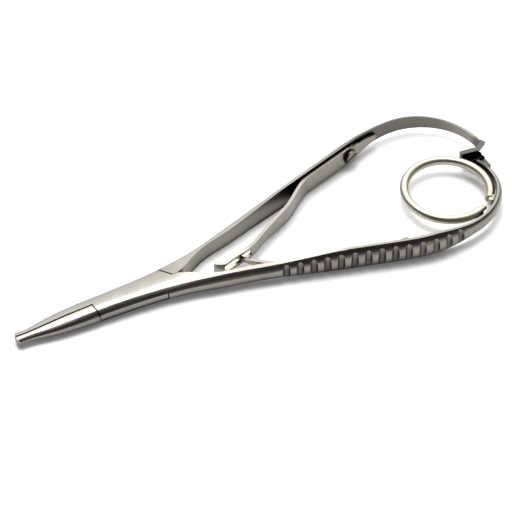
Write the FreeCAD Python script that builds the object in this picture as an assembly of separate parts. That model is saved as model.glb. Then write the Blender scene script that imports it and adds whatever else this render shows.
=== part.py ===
import FreeCAD, Part

import math
import os

# Box-lock needle holder with plain spring handles, a finger ring and an end ratchet.
# Lengths are millimetres. X runs along the tool with the jaws at -X, Y is across it,
# Z is up. The origin is on the joint's axis, in the plane that the grips rest on.
# "Far" is the +Y side, "near" is the -Y side, which carries the finger ring.

V = FreeCAD.Vector

# Heights, measured about the middle plane that both arms share.
GRIP_HEIGHT = 7.2
BOX_HEIGHT = 5.0
TIP_HEIGHT = 2.6
END_HEIGHT = 2.6
NECK_HEIGHT = 4.4

# Jaws and box joint, from the joint's axis.
JAW_LENGTH = 31.2
TIP_WIDTH = 1.95
TIP_RADIUS = 1.5
JAW_ROOT_WIDTH = 3.45
BOX_HALF_WIDTH = 3.85
BOX_REAR_X = 13.0
BOX_REAR_WIDTH = 5.15
CROWN_SLOPE = 0.12
JAW_GAP = 0.12
SERRATION_PITCH = 0.8
SERRATION_DEPTH = 0.2
SERRATED_LENGTH = 14.0
PARTING_BEVEL = 0.22

# The lock: one half passes through a slot in the other.
WAIST_THICKNESS = 2.0
WAIST_RADIUS = 9.5
SHOULDER_RADIUS = 10.5
REAR_SHOULDER_X = 11.7
REAR_SHOULDER_SLOPE = 0.68
WAIST_RECESS = 0.15
SLIDE_CLEARANCE = 0.12
TURN_CLEARANCE = 0.22
PIN_RADIUS = 1.6
PIN_CLEARANCE = 0.04

# Arms: thickness, and how far the outer side bulges.
ARM_THICKNESS = 2.5
GRIP_THICKNESS = 2.4
END_THICKNESS = 1.5
ARM_BULGE = 1.4
GRIP_BULGE = 1.7
END_BULGE = 0.9

# Far arm, along its outer line.
FAR_START = (20.0, 6.4)
FAR_ANGLE = 17.25
FAR_STRAIGHT = 59.7
FAR_SHOULDER_RADIUS = 49.2
FAR_SHOULDER_TURN = 16.1
FAR_END_RADIUS = 18.8
FAR_END_TURN = 93.0

# Near arm, along its inner face.
NEAR_START = (22.3, -4.65)
NEAR_ANGLE = 11.2
NEAR_BEND_RADIUS = 170.0
NEAR_BEND_TURN = 4.5
NEAR_STRAIGHT = 36.8
NEAR_HEEL_RADIUS = 46.8
NEAR_HEEL_TURN = 24.0
CURL_RADIUS = 18.0
CURL_TURN = 47.0
END_TURN = 56.6

# Where the grips are widest, along each arm from its start.
GRIP_FIRST = 36.0
GRIP_LAST = 57.0
GRIP_RISE = 24.0
GRIP_FALL = 14.0

# The grips are trimmed by this much, top and bottom, to true flats.
GRIP_TRIM = 0.1

# Grip grooves on the outer side.
GROOVE_COUNT = 14
GROOVE_PITCH = 3.6
GROOVE_FIRST = 17.6
GROOVE_RADIUS = 1.0
GROOVE_DEPTH = 0.92

# Finger ring: an open round wire on a lug, with the near arm's end bent round it.
RING_RADIUS = 11.5
RING_WIRE = 1.24
RING_START = -46.0
RING_END = 287.0
RING_TIP_TURN = 10.0
RING_TIP_WIRE = 0.7
RING_GAP = 0.46
LUG_WIDTH = 2.4
LUG_HEIGHT = 2.0

# Leaf springs and their screws.
LEAF_THICKNESS = 0.9
FAR_LEAF_HEIGHT = 5.6
FAR_LEAF_END_HEIGHT = 3.9
NEAR_LEAF_HEIGHT = 4.9
NEAR_LEAF_END_HEIGHT = 3.1
LEAF_POINT_HEIGHT = 1.6
LEAF_POINT_LENGTH = 11.0
LEAF_TAPER = (40.0, 53.0)
LEAF_SEAT = 0.1
FAR_LEAF_TIP = 68.0
FAR_LEAF_BEND = 40.0
FAR_LEAF_PATH = [(54.9, 12.0), (50.8, 8.8), (44.7, 5.5), (38.5, 2.1), (34.4, -0.2), (30.4, -1.3),
                 (25.8, -2.7)]
FAR_LEAF_END = [(25.8, -2.7), (24.6, -2.4), (22.9, -1.2)]
WINDOW = (25.4, 34.4)
WINDOW_HEIGHT = 2.2
NEAR_LEAF_TIP = 62.0
NEAR_LEAF_BEND = 17.5
NEAR_LEAF_PATH = [(36.6, -7.0), (33.4, -4.5), (31.0, -2.0), (30.0, 0.4)]
TONGUE_HEIGHT = 2.0
TONGUE_FROM_Y = -3.0
T_HEAD_HEIGHT = 3.0
T_HEAD_FROM_Y = -0.2
FAR_SCREW = 56.6
NEAR_SCREW = 50.0
SCREW_HEAD_RADIUS = 1.9
SCREW_HEAD_HEIGHT = 1.0
SCREW_RADIUS = 1.0
SCREW_DEPTH = 1.9
SCREW_SLOT = 0.6
SCREW_SLOT_DEPTH = 0.45

# End ratchet: a toothed rack on the near arm and a hook plate on the far arm above it.
TOOTH_COUNT = 3
TOOTH_PITCH = 1.5
TOOTH_FIRST_Y = 2.2
TOOTH_HEIGHT = 0.7
RACK_X = (101.9, 107.3)
RACK_Y = (-1.0, 6.4)
RACK_THICKNESS = 2.0
RACK_BELOW = 0.5
RACK_INSET = 0.2
HOOK_PLAN = [(101.5, 6.0), (101.3, 4.7), (106.4, 4.0), (107.5, 4.6), (109.9, 6.0), (109.2, 7.6),
             (107.9, 6.5), (106.6, 5.4)]
HOOK_THICKNESS = 0.9
HOOK_CLEARANCE = 0.15

MID_Z = GRIP_HEIGHT / 2
STATION_GAP = 10.0
STATION_TURN = 16.0
BULGE_STRIPS = 6
FAR = 1
NEAR = -1
UP = V(0, 0, 1)


def smooth(t):
    """An even ramp from 0 to 1, level at both ends."""
    t = min(max(t, 0.0), 1.0)
    return t * t * (3 - 2 * t)


def between(keys, s):
    """A value at s, eased between (place, value) keys."""
    if s <= keys[0][0]:
        return keys[0][1]
    for (s0, v0), (s1, v1) in zip(keys, keys[1:]):
        if s <= s1:
            return v0 + (v1 - v0) * smooth((s - s0) / (s1 - s0))
    return keys[-1][1]


def walk(start, heading, runs, s):
    """The point and heading at distance s along straight runs and tangent arcs."""
    x, y = start
    for length, turn in runs:
        step = min(s, length)
        part = step / length
        bend = math.radians(turn * part)
        chord = step if abs(bend) < 1e-9 else step * math.sin(bend / 2) / (bend / 2)
        x += chord * math.cos(heading + bend / 2)
        y += chord * math.sin(heading + bend / 2)
        heading += bend
        s -= step
        if s <= 0:
            break
    return V(x, y, 0), heading


def arc_run(radius, turn):
    return radius * math.radians(abs(turn)), turn


FAR_RUNS = [(FAR_STRAIGHT, 0), arc_run(FAR_SHOULDER_RADIUS, -FAR_SHOULDER_TURN),
            arc_run(FAR_END_RADIUS, -FAR_END_TURN)]
NEAR_RUNS = [arc_run(NEAR_BEND_RADIUS, -NEAR_BEND_TURN), (NEAR_STRAIGHT, 0),
             arc_run(NEAR_HEEL_RADIUS, NEAR_HEEL_TURN), arc_run(CURL_RADIUS, CURL_TURN),
             arc_run(RING_RADIUS + RING_WIRE + RING_GAP, END_TURN)]
FAR_LENGTH = sum(run[0] for run in FAR_RUNS)
NEAR_LENGTH = sum(run[0] for run in NEAR_RUNS)


def arm_height(s, length):
    grip = GRIP_HEIGHT + 2 * GRIP_TRIM
    return between([(GRIP_FIRST - GRIP_RISE, BOX_HEIGHT), (GRIP_FIRST, grip), (GRIP_LAST, grip),
                    (GRIP_LAST + GRIP_FALL, NECK_HEIGHT), (length, END_HEIGHT)], s)


def arm_thickness(s, length):
    return between([(0, ARM_THICKNESS), (GRIP_FIRST, GRIP_THICKNESS), (GRIP_LAST, GRIP_THICKNESS),
                    (GRIP_LAST + GRIP_FALL, END_THICKNESS), (length, END_THICKNESS)], s)


def arm_bulge(s, length):
    return between([(GRIP_FIRST - GRIP_RISE, ARM_BULGE), (GRIP_FIRST, GRIP_BULGE),
                    (GRIP_LAST, GRIP_BULGE), (GRIP_LAST + GRIP_FALL, END_BULGE),
                    (length, END_BULGE)], s)


def section(inner, outward, thick, height, bulge):
    """A closed section: flat inner face, level top and bottom, round outer side."""
    drop = CROWN_SLOPE * (thick - bulge)
    rise = height / 2 - drop
    radius = (rise * rise + bulge * bulge) / (2 * bulge)
    centre = inner + outward * (thick - radius) + UP * MID_Z
    first = math.atan2(rise, radius - bulge)
    half_step = first / BULGE_STRIPS

    def on_bulge(angle, reach):
        return centre + (outward * math.cos(angle) + UP * math.sin(angle)) * reach

    low, high = inner + UP * (MID_Z - height / 2), inner + UP * (MID_Z + height / 2)
    edges = [Part.makeLine(low, high), Part.makeLine(high, on_bulge(first, radius))]
    for i in range(BULGE_STRIPS):
        angle = first - 2 * half_step * i
        strip = Part.BezierCurve()
        strip.setPoles([on_bulge(angle, radius),
                        on_bulge(angle - half_step, radius / math.cos(half_step)),
                        on_bulge(angle - 2 * half_step, radius)])
        edges.append(strip.toShape())
    return Part.Wire(edges + [Part.makeLine(on_bulge(-first, radius), low)])


FRONT_KEYS = [(-JAW_LENGTH, TIP_WIDTH, TIP_HEIGHT), (-0.75 * JAW_LENGTH, 2.55, 3.3),
              (-SHOULDER_RADIUS - 2.4, JAW_ROOT_WIDTH, 4.75),
              (-SHOULDER_RADIUS * 0.6, 3.6, BOX_HEIGHT), (0, BOX_HALF_WIDTH, BOX_HEIGHT),
              (BOX_REAR_X * 0.7, 4.6, BOX_HEIGHT)]
FRONT_UNDER = 0.6


def front_sections(side):
    """Sections of one half from the tip to the back of the box."""
    return [section(V(x, -side * FRONT_UNDER, 0), V(0, side, 0), width + FRONT_UNDER, height,
                    min(ARM_BULGE, 0.42 * width)) for x, width, height in FRONT_KEYS]


def parting_grooves():
    """Bevels along the top and bottom edges where the closed jaws meet."""
    grooves = []
    for way in (-1, 1):
        wires = []
        for x, width, height in FRONT_KEYS[:4]:
            edge = V(x, 0, MID_Z + way * (height / 2 - CROWN_SLOPE * FRONT_UNDER))
            corners = [edge + V(0, PARTING_BEVEL, 0), edge + UP * PARTING_BEVEL,
                       edge - V(0, PARTING_BEVEL, 0), edge - UP * PARTING_BEVEL]
            wires.append(Part.makePolygon(corners + corners[:1]))
        front = Part.makeBox(JAW_LENGTH, JAW_LENGTH, 2 * GRIP_HEIGHT,
                             V(-JAW_LENGTH - SHOULDER_RADIUS, -JAW_LENGTH / 2, 0))
        grooves.append(Part.makeLoft(wires, True, False).common(front))
    return grooves


def far_frame(s):
    """Inner point, outward direction and thickness of the far arm at s."""
    outer, heading = walk(FAR_START, math.radians(FAR_ANGLE), FAR_RUNS, s)
    outward = V(-math.sin(heading), math.cos(heading), 0)
    thick = arm_thickness(s, FAR_LENGTH)
    return outer - outward * thick, outward, thick


def near_frame(s):
    """Inner point, outward direction and thickness of the near arm at s."""
    inner, heading = walk(NEAR_START, math.radians(-NEAR_ANGLE), NEAR_RUNS, s)
    return inner, V(math.sin(heading), -math.cos(heading), 0), arm_thickness(s, NEAR_LENGTH)


def stations(runs):
    """Distances of the sections: close together in tight bends, far apart elsewhere."""
    places = [0.0]
    for length, turn in runs:
        count = max(math.ceil(length / STATION_GAP), math.ceil(abs(turn) / STATION_TURN))
        start = places[-1]
        places += [start + length * (i + 1) / count for i in range(count)]
    return places


def arm_sections(frame, runs, length):
    wires = []
    for s in stations(runs):
        inner, outward, thick = frame(s)
        wires.append(section(inner, outward, thick, arm_height(s, length), arm_bulge(s, length)))
    return wires


def prism(points, low, high):
    """An upright prism over a plan outline."""
    ring = [V(x, y, low) for x, y in points]
    return Part.Face(Part.makePolygon(ring + ring[:1])).extrude(UP * (high - low))


def tip_corner(side):
    """The material outside the rounded corner of one jaw's tip."""
    slope = (2.55 - TIP_WIDTH) / (0.25 * JAW_LENGTH)
    stretch = math.hypot(1, slope)
    cx = -JAW_LENGTH + TIP_RADIUS
    cy = TIP_WIDTH + slope * TIP_RADIUS - TIP_RADIUS * stretch
    start = V(-JAW_LENGTH, side * cy, 0)
    end = V(cx - TIP_RADIUS * slope / stretch, side * (cy + TIP_RADIUS / stretch), 0)
    bend = math.radians(135)
    mid = V(cx + TIP_RADIUS * math.cos(bend), side * (cy + TIP_RADIUS * math.sin(bend)), 0)
    outside = [end, end + V(-slope, side, 0), V(-JAW_LENGTH - 1, side * (cy + 3), 0),
               V(-JAW_LENGTH - 1, side * cy, 0), start]
    edge = Part.Wire([Part.Arc(start, mid, end).toShape()] + Part.makePolygon(outside).Edges)
    return Part.Face(edge).extrude(UP * GRIP_HEIGHT)


def groove_cutters(frame):
    cutters = []
    for i in range(GROOVE_COUNT):
        inner, outward, thick = frame(GROOVE_FIRST + GROOVE_PITCH * i)
        foot = inner + outward * (thick + GROOVE_RADIUS - GROOVE_DEPTH)
        cutters.append(Part.makeCylinder(GROOVE_RADIUS, 2 * GRIP_HEIGHT, foot - UP))
    return cutters


def serration_cutters(side):
    """Cross grooves in one jaw's gripping face."""
    face, deep = side * JAW_GAP / 2, side * (JAW_GAP / 2 + SERRATION_DEPTH)
    half_width = 0.4 * SERRATION_PITCH
    cutters = []
    for i in range(int(SERRATED_LENGTH / SERRATION_PITCH)):
        x = -JAW_LENGTH + SERRATION_PITCH * (i + 1)
        cutters.append(prism([(x - half_width, face - side), (x + half_width, face - side),
                              (x + half_width, face), (x, deep), (x - half_width, face)],
                             0, GRIP_HEIGHT))
    return cutters


def half(side, frame, runs, length):
    """One whole half, from the jaw's tip to the arm's end, flat on the plane Y = 0."""
    crotch = section(V(BOX_REAR_X, 0, 0), V(0, side, 0), BOX_REAR_WIDTH, BOX_HEIGHT, ARM_BULGE)
    wires = front_sections(side) + [crotch] + arm_sections(frame, runs, length)
    solid = Part.makeLoft(wires, True, False)
    front = 1.5 * JAW_LENGTH
    away = Part.makeBox(front + 1.5 * BOX_REAR_X, front, 4 * GRIP_HEIGHT,
                        V(-front, -front if side > 0 else 0, -GRIP_HEIGHT))
    solid = solid.cut([away, tip_corner(side)] + groove_cutters(frame))
    flats = Part.makeBox(4 * front, 4 * front, GRIP_HEIGHT, V(-front, -2 * front, 0))
    return solid.common(flats)


def slab(half_height, radius, reach, gap):
    """A level slab: a disc, and the front near and rear far quarters out to a reach."""
    low, tall = MID_Z - half_height, 2 * half_height
    disc = Part.makeCylinder(radius, tall, V(0, 0, low))
    front = Part.makeBox(reach, reach, tall, V(-reach, -reach - gap, low))
    rear = Part.makeBox(reach, reach, tall, V(0, gap, low))
    return disc.fuse([front, rear])


def slot():
    """The room in the box that the other half passes through, with its turning room."""
    return slab(WAIST_THICKNESS / 2 + SLIDE_CLEARANCE, WAIST_RADIUS + TURN_CLEARANCE,
                SHOULDER_RADIUS + 3, 0)


def waist(far, near):
    """The thin middle of the half that passes through the box."""
    level = slab(WAIST_THICKNESS / 2, WAIST_RADIUS, SHOULDER_RADIUS + 2, JAW_GAP)
    inset = V(0, WAIST_RECESS, 0)
    return level.common(far.translated(-inset)).fuse(level.common(near.translated(inset)))


def jaw_room(radius):
    """The plan of the near jaw: in front of the joint, outside a radius about its axis."""
    room = Part.makeBox(2 * JAW_LENGTH, JAW_LENGTH, 2 * GRIP_HEIGHT,
                        V(-2 * JAW_LENGTH, -JAW_LENGTH, -1))
    return room.cut(Part.makeCylinder(radius, 2 * GRIP_HEIGHT, V(0, 0, -1)))


def arm_room(gap, low_y):
    """The plan of the far arm: behind the slanting rear shoulder."""
    high_y = 2 * JAW_LENGTH
    near_x = REAR_SHOULDER_X + gap - REAR_SHOULDER_SLOPE * low_y
    bend_y = 2 * BOX_HALF_WIDTH
    bend_x = REAR_SHOULDER_X + gap - REAR_SHOULDER_SLOPE * bend_y
    far_x = 5 * JAW_LENGTH
    return prism([(near_x, low_y), (far_x, low_y), (far_x, high_y), (bend_x, high_y),
                  (bend_x, bend_y)], -1, 2 * GRIP_HEIGHT)


def jaw_face(side):
    """The sliver taken off one jaw's inner face, and its serrations."""
    thin = JAW_GAP / 2
    sliver = Part.makeBox(JAW_LENGTH, 2 * thin, GRIP_HEIGHT,
                          V(-JAW_LENGTH - SHOULDER_RADIUS, -thin, 0))
    return [sliver] + parting_grooves() + serration_cutters(side)


def lock_halves():
    """The two interlocked halves and the pin.

    The box's far side mirrors its near side, so the two meet without a step.
    """
    far = half(FAR, far_frame, FAR_RUNS, FAR_LENGTH)
    near = half(NEAR, near_frame, NEAR_RUNS, NEAR_LENGTH)
    front = Part.makeBox(2 * JAW_LENGTH, JAW_LENGTH, 2 * GRIP_HEIGHT,
                         V(BOX_REAR_X - 2 * JAW_LENGTH, 0, -1))
    mirrored = near.mirror(V(0, 0, 0), V(0, 1, 0)).common(front)
    through_far = far.common(arm_room(TURN_CLEARANCE, JAW_GAP))
    through_near = near.common(jaw_room(SHOULDER_RADIUS)).cut(jaw_face(NEAR))
    box_far = mirrored.cut([arm_room(0, 0)] + jaw_face(FAR))
    box_near = near.cut(jaw_room(SHOULDER_RADIUS - TURN_CLEARANCE))
    pin_room = Part.makeCylinder(PIN_RADIUS, 2 * GRIP_HEIGHT, V(0, 0, -1))
    pin_hole = Part.makeCylinder(PIN_RADIUS + PIN_CLEARANCE, 2 * GRIP_HEIGHT, V(0, 0, -1))
    solid_box = box_far.fuse(box_near).removeSplitter()
    box = solid_box.cut([slot(), pin_room])
    through = through_far.fuse([through_near, waist(far, near)]).cut(pin_hole)
    return box, through, solid_box.common(pin_room)


def rack():
    """The toothed plate on the near arm's end, trimmed clear of the finger ring."""
    top = MID_Z + RACK_THICKNESS / 2 - RACK_BELOW
    low, root = top - RACK_THICKNESS, top - TOOTH_HEIGHT
    outline = [(RACK_Y[0], low), (RACK_Y[0], root)]
    for i in range(TOOTH_COUNT):
        y = TOOTH_FIRST_Y + TOOTH_PITCH * i
        run = min(TOOTH_PITCH, RACK_Y[1] - y)
        outline += [(y, root), (y, top), (y + run, top - TOOTH_HEIGHT * run / TOOTH_PITCH)]
    outline += [(RACK_Y[1], low), (RACK_Y[0], low)]
    face = Part.Face(Part.makePolygon([V(RACK_X[0], y, z) for y, z in outline]))
    return face.extrude(V(RACK_X[1] - RACK_X[0], 0, 0)).cut(ring_room(RACK_INSET))


def ring_centre():
    """The centre that the near arm's end is bent about."""
    inner, outward, thick = near_frame(NEAR_LENGTH)
    return inner - outward * (RING_RADIUS + RING_WIRE + RING_GAP) + UP * MID_Z


def ring_room(more):
    """The round space that the near arm's end is bent about, and a little more."""
    return Part.makeCylinder(RING_RADIUS + RING_WIRE + RING_GAP + more, 2 * GRIP_HEIGHT,
                             ring_centre() - UP * GRIP_HEIGHT)


def hook():
    """The plate on the far arm's end that reaches over the rack."""
    low = MID_Z + RACK_THICKNESS / 2 - RACK_BELOW + HOOK_CLEARANCE
    return prism(HOOK_PLAN, low, low + HOOK_THICKNESS)


def ring_arc(wire, start, turn):
    """Round wire bent about the ring's centre."""
    angle = math.radians(start)
    along = V(math.cos(angle), math.sin(angle), 0)
    circle = Part.makeCircle(wire, ring_centre() + along * RING_RADIUS, V(-along.y, along.x, 0))
    return Part.Face(Part.Wire(circle)).revolve(ring_centre(), UP, turn)


def finger_ring(near_arm):
    """An open ring whose free end is slimmer, held to the arm by a lug at its other end."""
    body = ring_arc(RING_WIRE, RING_START, RING_END - RING_START)
    tip = ring_arc(RING_TIP_WIRE, RING_END, RING_TIP_TURN)
    lug = Part.makeBox(RING_WIRE + RING_GAP + ARM_THICKNESS, LUG_WIDTH, LUG_HEIGHT,
                       V(RING_RADIUS, -LUG_WIDTH / 2, -LUG_HEIGHT / 2))
    lug.rotate(V(0, 0, 0), UP, RING_START)
    lug.translate(ring_centre())
    joined = body.fuse([tip, lug]).cut(near_arm)
    return max(joined.Solids, key=lambda solid: solid.Volume)


def along_arm(frame, first, last, side):
    """Points on the nearer side of a strip that lies against an arm's inner face."""
    reach = LEAF_SEAT + (LEAF_THICKNESS if side > 0 else 0)
    points = []
    steps = 9
    for i in range(steps + 1):
        inner, outward, thick = frame(first + (last - first) * i / steps)
        points.append(inner - outward * reach)
    return points


def strip(points):
    """An upright strip of spring steel whose nearer side runs through the points."""
    other = []
    for i, point in enumerate(points):
        along = points[min(i + 1, len(points) - 1)] - points[max(i - 1, 0)]
        along.normalize()
        other.append(point + V(along.y, -along.x, 0) * LEAF_THICKNESS)
    sides = []
    for row in (points, other):
        curve = Part.BSplineCurve()
        curve.interpolate(row)
        sides.append(curve.toShape())
    ends = [Part.makeLine(points[0], other[0]), Part.makeLine(points[-1], other[-1])]
    outline = Part.Wire([sides[0], ends[1], sides[1], ends[0]])
    return Part.Face(outline).extrude(UP * GRIP_HEIGHT)


def knuckle(point, outward):
    """The round on the outside of a bend, where two strips meet."""
    return Part.makeCylinder(LEAF_THICKNESS / 2, GRIP_HEIGHT, point + outward * (LEAF_THICKNESS / 2))


def side_prism(outline):
    """A prism across the tool over a side outline of (x, height from the middle plane)."""
    ring = [V(x, -JAW_LENGTH, MID_Z + z) for x, z in outline]
    face = Part.Face(Part.makePolygon(ring + ring[:1]))
    return face.extrude(V(0, 2 * JAW_LENGTH, 0))


def leaf_envelope(end_x, end_height, height, point_x):
    """The side shape of a leaf: low at its free end, full height, then a blunt point."""
    upper = [(end_x, end_height / 2), (LEAF_TAPER[0], end_height / 2), (LEAF_TAPER[1], height / 2),
             (point_x - LEAF_POINT_LENGTH, height / 2), (point_x, LEAF_POINT_HEIGHT / 2)]
    return side_prism(upper + [(x, -z) for x, z in reversed(upper)])


def far_leaf():
    """The windowed leaf that the near leaf's tongue hooks into."""
    seat = along_arm(far_frame, FAR_LEAF_TIP, FAR_LEAF_BEND, FAR)
    free = [seat[-1]] + [V(x, y, 0) for x, y in FAR_LEAF_PATH]
    end = [V(x, y, 0) for x, y in FAR_LEAF_END]
    outward = far_frame(FAR_LEAF_BEND)[1]
    leaf = strip(seat).fuse([strip(free), strip(end), knuckle(seat[-1], outward)])
    half_window = WINDOW_HEIGHT / 2
    window = side_prism([(WINDOW[0], -half_window), (WINDOW[1], -half_window),
                         (WINDOW[1], half_window), (WINDOW[0], half_window)])
    envelope = leaf_envelope(WINDOW[0] - BOX_REAR_X, FAR_LEAF_END_HEIGHT, FAR_LEAF_HEIGHT,
                             far_frame(FAR_LEAF_TIP)[0].x)
    return leaf.common(envelope).cut(window)


def near_leaf():
    """The leaf whose T-headed tongue passes through the far leaf's window."""
    seat = along_arm(near_frame, NEAR_LEAF_TIP, NEAR_LEAF_BEND, NEAR)
    free = [seat[-1]] + [V(x, y, 0) for x, y in NEAR_LEAF_PATH]
    envelope = leaf_envelope(WINDOW[0], NEAR_LEAF_END_HEIGHT, NEAR_LEAF_HEIGHT,
                             near_frame(NEAR_LEAF_TIP)[0].x)
    leaf = strip(seat).fuse([strip(free)]).common(envelope)
    reach = 2 * JAW_LENGTH
    trims = []
    for low_y, high_y, tall in ((TONGUE_FROM_Y, T_HEAD_FROM_Y, TONGUE_HEIGHT),
                                (T_HEAD_FROM_Y, reach, T_HEAD_HEIGHT)):
        for low_z in (MID_Z + tall / 2, MID_Z - tall / 2 - GRIP_HEIGHT):
            trims.append(Part.makeBox(reach, high_y - low_y, GRIP_HEIGHT, V(0, low_y, low_z)))
    return leaf.cut(trims)


def screw(frame, place):
    """A cheese-head screw through a leaf into the arm, and its plain shank for the holes."""
    inner, outward, thick = frame(place)
    seat = inner - outward * (LEAF_SEAT + LEAF_THICKNESS) + UP * MID_Z
    head = Part.makeCylinder(SCREW_HEAD_RADIUS, SCREW_HEAD_HEIGHT, seat, outward * -1)
    shank = Part.makeCylinder(SCREW_RADIUS, SCREW_DEPTH, seat, outward)
    groove = Part.makeBox(3 * SCREW_HEAD_RADIUS, SCREW_SLOT, 2 * SCREW_SLOT_DEPTH,
                          V(-1.5 * SCREW_HEAD_RADIUS, -SCREW_SLOT / 2, -SCREW_SLOT_DEPTH))
    groove.Placement = FreeCAD.Placement(seat - outward * SCREW_HEAD_HEIGHT,
                                         FreeCAD.Rotation(V(0, 0, 1), outward)).multiply(
                                             groove.Placement)
    return head.fuse(shank).cut(groove), shank


def make_parts():
    box, through, pin = lock_halves()
    ring = finger_ring(box)
    far_screw, far_hole = screw(far_frame, FAR_SCREW)
    near_screw, near_hole = screw(near_frame, NEAR_SCREW)
    return {"box_arm": box.fuse(rack()).cut(near_hole),
            "through_arm": through.fuse(hook()).cut(far_hole),
            "pivot_pin": pin,
            "finger_ring": ring,
            "far_leaf_spring": far_leaf().cut(far_hole),
            "near_leaf_spring": near_leaf().cut(near_hole),
            "far_spring_screw": far_screw,
            "near_spring_screw": near_screw}


if __name__ == "__main__":
    os.makedirs("parts", exist_ok=True)
    for name, shape in make_parts().items():
        if len(shape.Solids) == 1:
            shape = shape.Solids[0]
        shape.exportStep("parts/%s.step" % name)
        print(name, shape.isValid(), len(shape.Solids), round(shape.Volume, 2))
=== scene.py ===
import math

import bmesh
import bpy
from mathutils import Matrix, Vector


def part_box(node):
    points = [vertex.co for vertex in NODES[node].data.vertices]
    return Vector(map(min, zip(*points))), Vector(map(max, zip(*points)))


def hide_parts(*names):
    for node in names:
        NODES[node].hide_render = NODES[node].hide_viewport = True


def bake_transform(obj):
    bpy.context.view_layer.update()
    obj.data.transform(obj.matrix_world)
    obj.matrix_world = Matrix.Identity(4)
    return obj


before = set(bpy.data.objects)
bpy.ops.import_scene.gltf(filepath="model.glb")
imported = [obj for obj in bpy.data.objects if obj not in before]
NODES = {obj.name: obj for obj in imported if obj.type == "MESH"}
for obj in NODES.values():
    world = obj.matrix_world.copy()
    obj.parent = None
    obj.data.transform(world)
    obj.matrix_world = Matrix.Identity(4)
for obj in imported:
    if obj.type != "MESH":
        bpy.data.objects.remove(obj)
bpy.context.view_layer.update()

MM = 0.001

# The photograph's camera, worked out from the finger ring's ellipse, in the part's frame.
CAMERA = Vector((-116.8, -289.2, 335.2)) * MM
LOOK_AT = Vector((35.8, 0.14, 1.1)) * MM
FOCAL_PIXELS = 1800.0
IMAGE_PIXELS = 512.0
SENSOR_WIDTH = 36.0
CLIP_START = 0.01

# The tool rests on its grips and on the underside of its box joint.
GRIP_REST_X = 66.0 * MM
BOX_REST_X = 4.0 * MM
BOX_REST_Z = 1.1 * MM

# Height of the middle plane that the waist, the slot and both leaves share.
MIDDLE_Z = 3.6 * MM

# The floor glows faintly where the camera or the steel sees it, so that it reads as white.
FLOOR_HALF = 3.0
FLOOR_GAP = 0.02 * MM
FLOOR_PAPER = (0.90, 0.90, 0.90, 1)
FLOOR_LIFT = 0.13
WHITE = (1, 1, 1, 1)

# The sky has one bright patch beyond the tool, and a pale band along its horizon.
SKY = {"elevation": 52.0, "dim": 0.024, "bright": 2.88, "edge": 0.46, "core": 0.975}
HORIZON = {"bright": 0.28, "top": 0.5}
KEY = {"away": 0.155, "right": -0.03, "up": 0.60, "size": 0.23, "power": 1.8}

# Where each leaf spring leaves its arm, and how its copy is welded and cut along its length.
FAR_LEAF_LEAVES_X = 57.0 * MM
NEAR_LEAF_LEAVES_X = 38.6 * MM
LEAF_STEP = 1.2 * MM
LEAF_CUT_PAST = 12.0 * MM
LEAF_WELD = 0.002 * MM

# The near leaf's tongue: where it has its least height, where it starts, and that height's share.
NEAR_TONGUE = (38.0 * MM, 46.0 * MM, 0.5)

# The lock's joint lines are painted shade, laid in the real gaps or close to them.
SEAM_HALF = 0.14 * MM
SEAM_SOFT = 0.06 * MM
END_SOFT = 0.1 * MM
PARTING_HALF = 0.20 * MM
PAST_TIP_X = -40.0 * MM
SHOULDER_RADIUS = 10.4 * MM
SHOULDER_FADE_X = 1.0 * MM
SHOULDER_FADE_Y = 0.2 * MM
REAR_X = 11.81 * MM
REAR_SLOPE = 0.68
REAR_HALF = 1.6 * SEAM_HALF
REAR_Y = (-0.1 * MM, 5.0 * MM)
SLOT_HALF_HEIGHT = 1.06 * MM
SLOT_LINE_HALF = 0.7 * SEAM_HALF
SLOT_REACH = 8.6 * MM
BOX_SIDE_Y = (-2.9 * MM, -2.6 * MM)

# The tops of the box and jaws are shaded as slightly crowned.
BOX_END_X = 12.0 * MM
CROWN_FADE = 6.0 * MM
CROWN_SLOPE = 0.12
CROWN_WIDTH = 2.5 * MM
CROWN_TAPER = 0.045

# Painted shade in joint gaps, grooves and hollows: how far away a wall darkens a point's colour, and
# how much.
PAINTED_SHADE_REACH = 2.0 * MM
PAINTED_SHADE_CLEAR = 0.97
PAINTED_SHADE_FULL = 0.58
PAINTED_SHADE_LEVEL = 0.05
PAINTED_SHADE_SAMPLES = 12

# Painted shade on the ratchet's teeth, darkest at their middle.
RATCHET_SHADE_AT = Vector((104.6, 3.6, 3.6)) * MM
RATCHET_SHADE_REACH = (6.0 * MM, 8.0 * MM)
RATCHET_SHADE_LEVEL = 0.36

# A painted highlight on the far leaf at its hooked end, and painted shade on the far arm's curl.
HOOK_HIGHLIGHT_X = (31.5 * MM, 34.5 * MM)
HOOK_HIGHLIGHT = 1.35
CURL_SHADE_Y = (14.0 * MM, 21.0 * MM)
CURL_SHADE = 0.62

STEEL = (0.218, 0.208, 0.186)
RING_STEEL = (0.43, 0.41, 0.335)
LEAF_STEEL = (0.25, 0.237, 0.207)
SCREW_STEEL = (0.17, 0.16, 0.145)

# Grain and patches: noise cells to the metre, and how much the noise changes the surface.
GRAIN_ACROSS = 4000.0
GRAIN_ALONG = 120.0
WIRE_GRAIN_ALONG = 2000.0
GRAIN_DEPTH = 0.02 * MM
PATCHES = 110.0
PATCH_STOPS = ((0.3, 0.90), (0.7, 1.05))
ROUGHNESS_SPREAD = 0.18
EDGE_RADIUS = 0.12 * MM
EDGE_SAMPLES = 6


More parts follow.
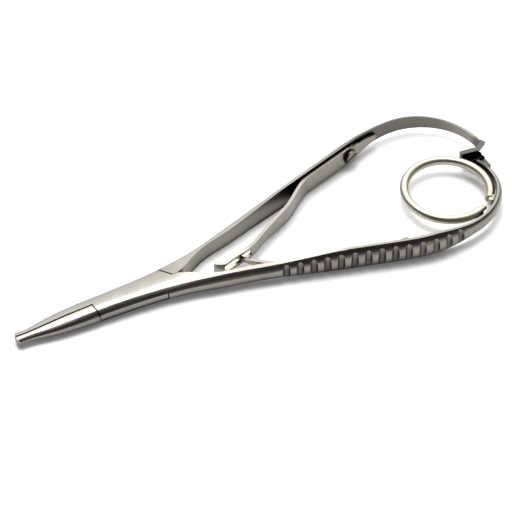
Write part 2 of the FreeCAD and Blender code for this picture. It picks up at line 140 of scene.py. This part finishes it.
class Graph:
    """The nodes of one shader, added and linked by short calls."""

    def __init__(self, owner):
        owner.use_nodes = True
        self.tree = owner.node_tree
        self.tree.nodes.clear()

    def feed(self, socket, value):
        """Links another node's output to a socket, or sets the socket to a plain value."""
        if isinstance(value, bpy.types.NodeSocket):
            self.tree.links.new(value, socket)
        else:
            socket.default_value = value

    def add(self, kind, **values):
        """Adds a node; each value is one of its settings or the feed of one of its inputs."""
        node = self.tree.nodes.new(kind)
        for name, value in values.items():
            if hasattr(node, name):
                setattr(node, name, value)
            else:
                self.feed(node.inputs[name], value)
        return node

    def do(self, operation, *terms):
        node = self.add("ShaderNodeMath", operation=operation)
        for socket, term in zip(node.inputs, terms):
            self.feed(socket, term)
        return node.outputs[0]

    def measure(self, operation, first, second):
        """One number from two vectors, such as their distance."""
        node = self.add("ShaderNodeVectorMath", operation=operation)
        self.feed(node.inputs[0], first)
        self.feed(node.inputs[1], second)
        return node.outputs["Value"]

    def scale(self, colour, factor):
        node = self.add("ShaderNodeVectorMath", operation="SCALE", Scale=factor)
        self.feed(node.inputs[0], colour)
        return node.outputs["Vector"]

    def split(self, vector):
        return self.add("ShaderNodeSeparateXYZ", Vector=vector).outputs

    def ramp(self, value, start, end, low=0.0, high=1.0, kind="SMOOTHSTEP"):
        ends = {"From Min": start, "From Max": end, "To Min": low, "To Max": high}
        node = self.add("ShaderNodeMapRange", interpolation_type=kind, Value=value, **ends)
        return node.outputs["Result"]

    def line(self, value, at, half):
        """1 where a value is within half of a place, fading over a soft edge."""
        off = self.do("ABSOLUTE", self.do("SUBTRACT", value, at))
        return self.ramp(off, half, half + SEAM_SOFT, 1.0, 0.0)

    def inside(self, value, low, high):
        """1 where a value is between two places, fading at both ends."""
        above = self.ramp(value, low, low + END_SOFT)
        below = self.ramp(value, high - END_SOFT, high, 1.0, 0.0)
        return self.do("MULTIPLY", above, below)


def parting_line(graph, x, y):
    """The line between the two jaws."""
    along = graph.inside(x, PAST_TIP_X, -SHOULDER_RADIUS)
    return graph.do("MULTIPLY", graph.line(y, 0.0, PARTING_HALF), along)


def shoulder_line(graph, x, y):
    """The round front shoulder, on the near half of the box."""
    across = graph.do("ADD", graph.do("MULTIPLY", x, x), graph.do("MULTIPLY", y, y))
    radius = graph.do("SQRT", across)
    near = graph.ramp(y, 0.0, SHOULDER_FADE_Y, 1.0, 0.0)
    front = graph.ramp(x, -SHOULDER_FADE_X, 0.0, 1.0, 0.0)
    place = graph.do("MULTIPLY", near, front)
    return graph.do("MULTIPLY", graph.line(radius, SHOULDER_RADIUS, SEAM_HALF), place)


def rear_line(graph, x, y):
    """The slanting rear shoulder, on the far half of the box."""
    slanted = graph.do("ADD", x, graph.do("MULTIPLY", y, REAR_SLOPE))
    return graph.do("MULTIPLY", graph.line(slanted, REAR_X, REAR_HALF), graph.inside(y, *REAR_Y))


def slot_line(graph, x, y, z):
    """The outline of the slot in the box's near side."""
    level = graph.do("ABSOLUTE", graph.do("SUBTRACT", z, MIDDLE_Z))
    within = graph.ramp(level, SLOT_HALF_HEIGHT, SLOT_HALF_HEIGHT + END_SOFT, 1.0, 0.0)
    end = graph.do("MULTIPLY", graph.line(x, SLOT_REACH, SEAM_HALF), within)
    edge = graph.do("MAXIMUM", graph.line(level, SLOT_HALF_HEIGHT, SLOT_LINE_HALF), end)
    on_side = graph.ramp(y, *BOX_SIDE_Y, 1.0, 0.0)
    along = graph.inside(x, -SHOULDER_RADIUS, SLOT_REACH + SEAM_HALF)
    return graph.do("MULTIPLY", edge, graph.do("MULTIPLY", on_side, along))


def painted_gap_shade(graph, x, y, z):
    """Painted shade along the lock's joint gaps: 1 on a line, 0 away from it."""
    front = graph.do("MAXIMUM", parting_line(graph, x, y), shoulder_line(graph, x, y))
    rear = graph.do("MAXIMUM", rear_line(graph, x, y), slot_line(graph, x, y, z))
    return graph.do("MAXIMUM", front, rear)


def crown(graph, x, y):
    """Bows the top of the box and jaws on each side of the middle plane, highest halfway out."""
    width = graph.do("ADD", CROWN_WIDTH, graph.do("MULTIPLY", x, CROWN_TAPER))
    off = graph.do("MINIMUM", graph.do("ABSOLUTE", y), width)
    bow = graph.do("SUBTRACT", off, graph.do("DIVIDE", graph.do("MULTIPLY", off, off), width))
    fade = graph.ramp(x, BOX_END_X, BOX_END_X + CROWN_FADE, CROWN_SLOPE, 0.0)
    return graph.do("MULTIPLY", bow, fade)


def patches(graph, position, colour):
    """The steel's colour in soft light and dark patches."""
    noise = graph.add("ShaderNodeTexNoise", Vector=position, Scale=PATCHES, Detail=4.0,
                      Roughness=0.55)
    tint = graph.add("ShaderNodeValToRGB", Fac=noise.outputs["Fac"])
    for stop, (place, share) in zip(tint.color_ramp.elements, PATCH_STOPS):
        stop.position = place
        stop.color = tuple(c * share for c in colour) + (1,)
    return tint.outputs["Color"]


def scratches(graph, position, along):
    """Fine scratches, drawn out along the tool."""
    stretch = graph.add("ShaderNodeMapping", Vector=position,
                        Scale=(along, GRAIN_ACROSS, GRAIN_ACROSS))
    noise = graph.add("ShaderNodeTexNoise", Vector=stretch.outputs["Vector"], Scale=1.0,
                      Detail=3.0, Roughness=0.6)
    return noise.outputs["Fac"]


def steel(name, colour, roughness, grain, along=GRAIN_ALONG, lock_shading=False, hook_highlight=False):
    """Satin ground steel; a lock half gets painted shade at its ratchet, its joint gaps and its far
    curl, and a crowned top, and a leaf may get a painted highlight at its hooked end.
    """
    material = bpy.data.materials.new(name)
    graph = Graph(material)
    position = graph.add("ShaderNodeTexCoord").outputs["Object"]
    x, y, z = graph.split(position)
    skin = patches(graph, position, colour)
    # Painted shade: darker colour around the ratchet's teeth.
    if lock_shading:
        distance = graph.measure("DISTANCE", position, RATCHET_SHADE_AT)
        skin = graph.scale(skin, graph.ramp(distance, *RATCHET_SHADE_REACH, RATCHET_SHADE_LEVEL))
    # Painted shade: ambient occlusion darkens the colour in gaps, grooves and hollows.
    around = graph.add("ShaderNodeAmbientOcclusion", samples=PAINTED_SHADE_SAMPLES, Distance=PAINTED_SHADE_REACH)
    skin = graph.scale(skin, graph.ramp(around.outputs["AO"], PAINTED_SHADE_FULL, PAINTED_SHADE_CLEAR, PAINTED_SHADE_LEVEL))
    normal = graph.add("ShaderNodeBevel", samples=EDGE_SAMPLES, Radius=EDGE_RADIUS).outputs["Normal"]
    # Painted highlight: lighter colour towards the far leaf's hooked end.
    if hook_highlight:
        skin = graph.scale(skin, graph.ramp(x, *HOOK_HIGHLIGHT_X, HOOK_HIGHLIGHT, 1.0))
    if lock_shading:
        # Painted shade along the lock's joint gaps.
        gap_shade = graph.ramp(painted_gap_shade(graph, x, y, z), 0.0, 1.0, 1.0, PAINTED_SHADE_LEVEL)
        # Painted shade: darker colour towards the far arm's curl.
        curl = graph.ramp(y, *CURL_SHADE_Y, 1.0, CURL_SHADE)
        skin = graph.scale(skin, graph.do("MULTIPLY", gap_shade, curl))
        normal = graph.add("ShaderNodeBump", Strength=1.0, Distance=1.0, Normal=normal,
                           Height=crown(graph, x, y)).outputs["Normal"]
    marks = scratches(graph, position, along)
    rough = graph.ramp(marks, 0.0, 1.0, roughness * (1 - ROUGHNESS_SPREAD),
                       roughness * (1 + ROUGHNESS_SPREAD), kind="LINEAR")
    normal = graph.add("ShaderNodeBump", Strength=grain, Distance=GRAIN_DEPTH, Normal=normal,
                       Height=marks).outputs["Normal"]
    shader = graph.add("ShaderNodeBsdfPrincipled", Metallic=1.0, Roughness=rough, Normal=normal)
    graph.feed(shader.inputs["Base Color"], skin)
    graph.add("ShaderNodeOutputMaterial", Surface=shader.outputs["BSDF"])
    return material


def dress(obj, material):
    obj.data.materials.clear()
    obj.data.materials.append(material)


def put(name, data):
    """Puts new data into the scene as an object."""
    obj = bpy.data.objects.new(name, data)
    bpy.context.scene.collection.objects.link(obj)
    return obj


def solid(name, mesh, material):
    """Turns a bmesh into an object of the scene."""
    data = bpy.data.meshes.new(name)
    mesh.to_mesh(data)
    mesh.free()
    obj = put(name, data)
    dress(obj, material)
    return obj


def narrow(mesh, tongue_x, full_x, share):
    """Draws a leaf in toward its middle plane between two places."""
    for vert in mesh.verts:
        t = min(max((full_x - vert.co.x) / (full_x - tongue_x), 0.0), 1.0)
        t = t * t * (3 - 2 * t)
        vert.co.z = MIDDLE_Z + (vert.co.z - MIDDLE_Z) * (1 - t * (1 - share))


def sprung_copy(node, name, leaves_x, material, tongue=None):
    """A copy of a leaf, cut crosswise in short steps to a little past where it leaves its arm, in
    place of the leaf.
    """
    mesh = bmesh.new()
    mesh.from_mesh(NODES[node].data)
    bmesh.ops.remove_doubles(mesh, verts=mesh.verts, dist=LEAF_WELD)
    low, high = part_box(node)
    x = low[0] + LEAF_STEP
    while x < min(high[0], leaves_x + LEAF_CUT_PAST):
        everything = mesh.verts[:] + mesh.edges[:] + mesh.faces[:]
        bmesh.ops.bisect_plane(mesh, geom=everything, plane_co=(x, 0, 0), plane_no=(1, 0, 0))
        x += LEAF_STEP
    if tongue:
        narrow(mesh, *tongue)
    leaf = solid(name, mesh, material)
    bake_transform(leaf)
    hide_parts(node)


def look(obj, target):
    obj.rotation_euler = (target - obj.location).to_track_quat("-Z", "Y").to_euler()


def camera():
    data = bpy.data.cameras.new("camera")
    data.sensor_width = SENSOR_WIDTH
    data.lens = SENSOR_WIDTH * FOCAL_PIXELS / IMAGE_PIXELS
    data.clip_start = CLIP_START
    obj = put("camera", data)
    obj.location = CAMERA
    look(obj, LOOK_AT)
    bpy.context.scene.camera = obj


def floor():
    """A pale floor that touches the grips and the box joint."""
    material = bpy.data.materials.new("floor")
    graph = Graph(material)
    path = graph.add("ShaderNodeLightPath").outputs
    seen = graph.do("MAXIMUM", path["Is Camera Ray"], path["Is Glossy Ray"])
    paper = graph.add("ShaderNodeBsdfDiffuse", Color=FLOOR_PAPER)
    lift = graph.add("ShaderNodeEmission", Color=WHITE,
                     Strength=graph.do("MULTIPLY", seen, FLOOR_LIFT))
    both = graph.add("ShaderNodeAddShader")
    graph.feed(both.inputs[0], paper.outputs[0])
    graph.feed(both.inputs[1], lift.outputs[0])
    graph.add("ShaderNodeOutputMaterial", Surface=both.outputs[0])
    mesh = bmesh.new()
    bmesh.ops.create_grid(mesh, x_segments=1, y_segments=1, size=FLOOR_HALF)
    slope = math.atan2(BOX_REST_Z, GRIP_REST_X - BOX_REST_X)
    tilt = Matrix.Rotation(slope, 4, "Y")
    seat = Matrix.Translation((GRIP_REST_X, 0, -FLOOR_GAP)) @ tilt
    bmesh.ops.transform(mesh, matrix=seat, verts=mesh.verts)
    solid("floor", mesh, material)


def key_lamp(away):
    """One soft round lamp over the tool, a little beyond it."""
    data = bpy.data.lights.new("key", "AREA")
    data.shape = "DISK"
    data.size = KEY["size"]
    data.energy = KEY["power"]
    obj = put("key", data)
    right = Vector((away.y, -away.x, 0))
    obj.location = LOOK_AT + away * KEY["away"] + right * KEY["right"] + Vector((0, 0, KEY["up"]))
    look(obj, LOOK_AT)


def sky(away):
    """A dim room with a bright patch beyond the tool; the camera sees at least plain white."""
    world = bpy.data.worlds.new("studio")
    bpy.context.scene.world = world
    graph = Graph(world)
    direction = graph.add("ShaderNodeTexCoord").outputs["Generated"]
    elevation = math.radians(SKY["elevation"])
    patch = away * math.cos(elevation) + Vector((0, 0, math.sin(elevation)))
    level = graph.ramp(graph.measure("DOT_PRODUCT", direction, patch), SKY["edge"], SKY["core"],
                       SKY["dim"], SKY["bright"])
    height = graph.split(direction)["Z"]
    glow = graph.ramp(height, 0.0, HORIZON["top"], HORIZON["bright"], 0.0)
    path = graph.add("ShaderNodeLightPath").outputs
    strength = graph.do("MAXIMUM", graph.do("MAXIMUM", level, glow), path["Is Camera Ray"])
    shade = graph.add("ShaderNodeBackground", Color=WHITE, Strength=strength)
    graph.add("ShaderNodeOutputWorld", Surface=shade.outputs[0])


def studio():
    away = (LOOK_AT - CAMERA) * Vector((1, 1, 0))
    away.normalize()
    sky(away)
    key_lamp(away)
    bpy.context.scene.view_settings.view_transform = "Standard"


camera()
floor()
studio()

satin = steel("satin_steel", STEEL, roughness=0.30, grain=0.35, lock_shading=True)
wire = steel("bright_wire", RING_STEEL, roughness=0.40, grain=0.15, along=WIRE_GRAIN_ALONG)
far_spring = steel("far_spring_strip", LEAF_STEEL, roughness=0.30, grain=0.35, hook_highlight=True)
near_spring = steel("near_spring_strip", LEAF_STEEL, roughness=0.30, grain=0.35)
dark = steel("screw_steel", SCREW_STEEL, roughness=0.38, grain=0.15)

for node in ("box_arm", "through_arm", "pivot_pin"):
    dress(NODES[node], satin)
dress(NODES["finger_ring"], wire)
for node in ("far_spring_screw", "near_spring_screw"):
    dress(NODES[node], dark)
sprung_copy("far_leaf_spring", "far_leaf_sprung",
            FAR_LEAF_LEAVES_X, far_spring)
sprung_copy("near_leaf_spring", "near_leaf_sprung",
            NEAR_LEAF_LEAVES_X, near_spring, tongue=NEAR_TONGUE)
